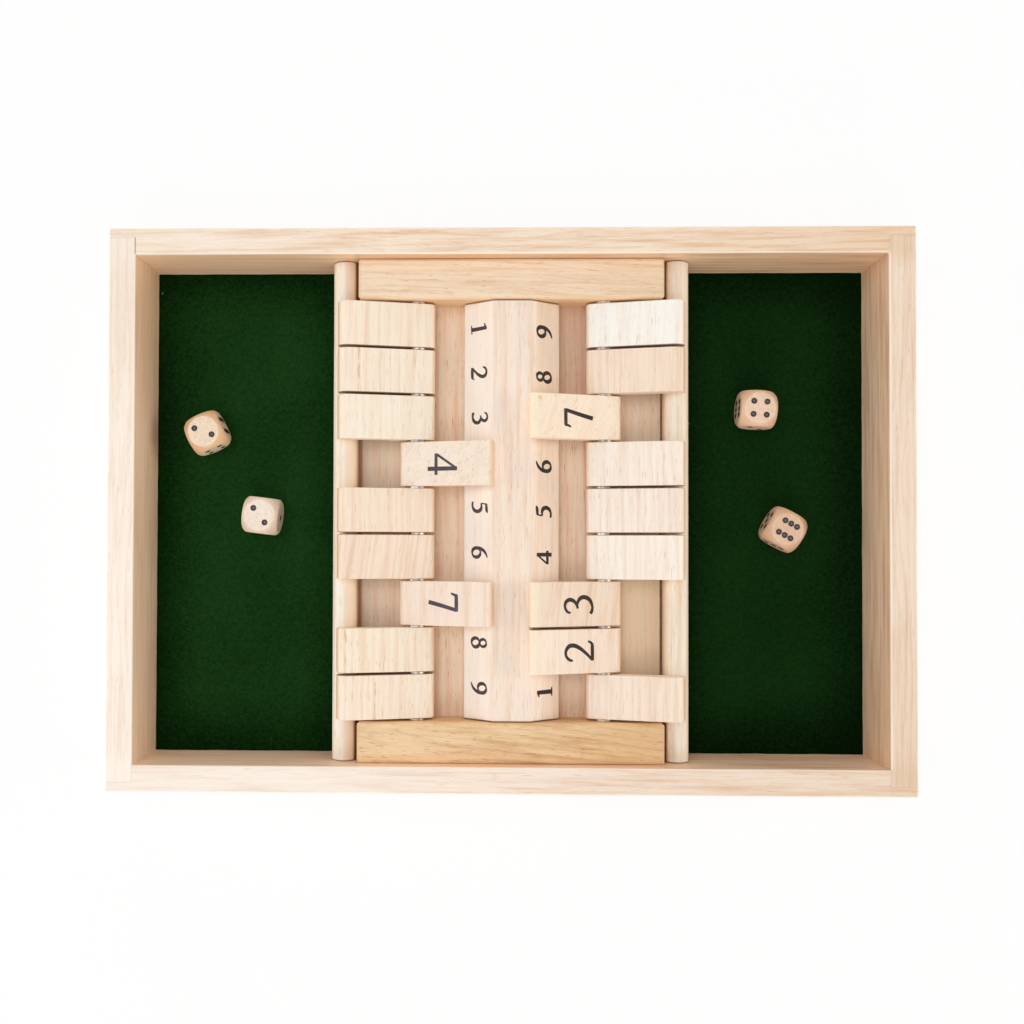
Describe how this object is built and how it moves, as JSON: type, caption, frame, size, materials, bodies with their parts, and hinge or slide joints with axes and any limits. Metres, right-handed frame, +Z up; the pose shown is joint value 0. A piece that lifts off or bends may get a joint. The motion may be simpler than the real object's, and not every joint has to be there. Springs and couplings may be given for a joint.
{
  "type": "shut the box game",
  "caption": "Open wooden game box with a felt dice tray at each end, facing rows of hinged number flaps over a sloped middle bar, and loose wooden dice.",
  "frame": {"origin": "centre of the box's underside", "axes": "+X along the box to the right as a player at the front sees it, +Y from the front rail to the back rail, +Z up"},
  "size_m": [0.341, 0.2392, 0.0404],
  "materials": {
    "box_wood": "clear satin over pale rubberwood",
    "base_wood": "plain board",
    "green_felt": "dark green wool felt",
    "deck_wood": "plain pale board",
    "dowel_wood": "turned, bare",
    "back_block_wood": "clear satin",
    "front_block_wood": "clear satin",
    "bar_wood": "clear satin, printed with dark numbers",
    "flap_wood": "clear satin, printed with a dark number on one face",
    "steel": "drawn rod",
    "washer_steel": "plain washers",
    "die_wood": "waxed, pips filled with dark paint"
  },
  "bodies": {
    "box": {"back_rail": "box_wood", "front_rail": "box_wood", "left_side": "box_wood", "right_side": "box_wood", "base_panel": "base_wood", "left_felt": "green_felt", "right_felt": "green_felt", "deck_board": "deck_wood", "left_rest_dowel": "dowel_wood", "right_rest_dowel": "dowel_wood", "back_bearing_block": "back_block_wood", "front_bearing_block": "front_block_wood", "number_bar": "bar_wood", "left_pivot_rod": "steel", "right_pivot_rod": "steel", "left_washers": "washer_steel", "right_washers": "washer_steel"},
    "left_flap_1": {"left_flap_1": "flap_wood"},
    "left_flap_2": {"left_flap_2": "flap_wood"},
    "left_flap_3": {"left_flap_3": "flap_wood"},
    "left_flap_4": {"left_flap_4": "flap_wood"},
    "left_flap_5": {"left_flap_5": "flap_wood"},
    "left_flap_6": {"left_flap_6": "flap_wood"},
    "left_flap_7": {"left_flap_7": "flap_wood"},
    "left_flap_8": {"left_flap_8": "flap_wood"},
    "left_flap_9": {"left_flap_9": "flap_wood"},
    "right_flap_1": {"right_flap_1": "flap_wood"},
    "right_flap_2": {"right_flap_2": "flap_wood"},
    "right_flap_3": {"right_flap_3": "flap_wood"},
    "right_flap_4": {"right_flap_4": "flap_wood"},
    "right_flap_5": {"right_flap_5": "flap_wood"},
    "right_flap_6": {"right_flap_6": "flap_wood"},
    "right_flap_7": {"right_flap_7": "flap_wood"},
    "right_flap_8": {"right_flap_8": "flap_wood"},
    "right_flap_9": {"right_flap_9": "flap_wood"},
    "die_1": {"die_1": "die_wood"},
    "die_2": {"die_2": "die_wood"},
    "die_3": {"die_3": "die_wood"},
    "die_4": {"die_4": "die_wood"}
  },
  "joints": [
    {"name": "left_flap_1_hinge", "type": "hinge", "parent": "box", "child": "left_flap_1", "pos_m": [-0.03955, 0.08, 0.0261], "axis": [0, 1, 0], "range_deg": [0, 149.7]},
    {"name": "left_flap_2_hinge", "type": "hinge", "parent": "box", "child": "left_flap_2", "pos_m": [-0.03955, 0.06, 0.0261], "axis": [0, 1, 0], "range_deg": [0, 149.7]},
    {"name": "left_flap_3_hinge", "type": "hinge", "parent": "box", "child": "left_flap_3", "pos_m": [-0.03955, 0.04, 0.0261], "axis": [0, 1, 0], "range_deg": [0, 149.7]},
    {"name": "left_flap_4_hinge", "type": "hinge", "parent": "box", "child": "left_flap_4", "pos_m": [-0.03955, 0.02, 0.0261], "axis": [0, -1, 0], "range_deg": [0, 149.7]},
    {"name": "left_flap_5_hinge", "type": "hinge", "parent": "box", "child": "left_flap_5", "pos_m": [-0.03955, 0, 0.0261], "axis": [0, 1, 0], "range_deg": [0, 149.7]},
    {"name": "left_flap_6_hinge", "type": "hinge", "parent": "box", "child": "left_flap_6", "pos_m": [-0.03955, -0.02, 0.0261], "axis": [0, 1, 0], "range_deg": [0, 149.7]},
    {"name": "left_flap_7_hinge", "type": "hinge", "parent": "box", "child": "left_flap_7", "pos_m": [-0.03955, -0.04, 0.0261], "axis": [0, -1, 0], "range_deg": [0, 149.7]},
    {"name": "left_flap_8_hinge", "type": "hinge", "parent": "box", "child": "left_flap_8", "pos_m": [-0.03955, -0.06, 0.0261], "axis": [0, 1, 0], "range_deg": [0, 149.7]},
    {"name": "left_flap_9_hinge", "type": "hinge", "parent": "box", "child": "left_flap_9", "pos_m": [-0.03955, -0.08, 0.0261], "axis": [0, 1, 0], "range_deg": [0, 149.7]},
    {"name": "right_flap_1_hinge", "type": "hinge", "parent": "box", "child": "right_flap_1", "pos_m": [0.04125, -0.08, 0.0261], "axis": [0, -1, 0], "range_deg": [0, 148.4]},
    {"name": "right_flap_2_hinge", "type": "hinge", "parent": "box", "child": "right_flap_2", "pos_m": [0.04125, -0.06, 0.0261], "axis": [0, 1, 0], "range_deg": [0, 148.4]},
    {"name": "right_flap_3_hinge", "type": "hinge", "parent": "box", "child": "right_flap_3", "pos_m": [0.04125, -0.04, 0.0261], "axis": [0, 1, 0], "range_deg": [0, 148.4]},
    {"name": "right_flap_4_hinge", "type": "hinge", "parent": "box", "child": "right_flap_4", "pos_m": [0.04125, -0.02, 0.0261], "axis": [0, -1, 0], "range_deg": [0, 148.4]},
    {"name": "right_flap_5_hinge", "type": "hinge", "parent": "box", "child": "right_flap_5", "pos_m": [0.04125, 0, 0.0261], "axis": [0, -1, 0], "range_deg": [0, 148.4]},
    {"name": "right_flap_6_hinge", "type": "hinge", "parent": "box", "child": "right_flap_6", "pos_m": [0.04125, 0.02, 0.0261], "axis": [0, -1, 0], "range_deg": [0, 148.4]},
    {"name": "right_flap_7_hinge", "type": "hinge", "parent": "box", "child": "right_flap_7", "pos_m": [0.04125, 0.04, 0.0261], "axis": [0, 1, 0], "range_deg": [0, 148.4]},
    {"name": "right_flap_8_hinge", "type": "hinge", "parent": "box", "child": "right_flap_8", "pos_m": [0.04125, 0.06, 0.0261], "axis": [0, -1, 0], "range_deg": [0, 148.4]},
    {"name": "right_flap_9_hinge", "type": "hinge", "parent": "box", "child": "right_flap_9", "pos_m": [0.04125, 0.08, 0.0261], "axis": [0, -1, 0], "range_deg": [0, 148.4]},
    {"name": "die_1_lift", "type": "slide", "parent": "box", "child": "die_1", "axis": [0, 0, 1], "range_m": [0, 0.06]},
    {"name": "die_2_lift", "type": "slide", "parent": "box", "child": "die_2", "axis": [0, 0, 1], "range_m": [0, 0.06]},
    {"name": "die_3_lift", "type": "slide", "parent": "box", "child": "die_3", "axis": [0, 0, 1], "range_m": [0, 0.06]},
    {"name": "die_4_lift", "type": "slide", "parent": "box", "child": "die_4", "axis": [0, 0, 1], "range_m": [0, 0.06]}
  ]
}
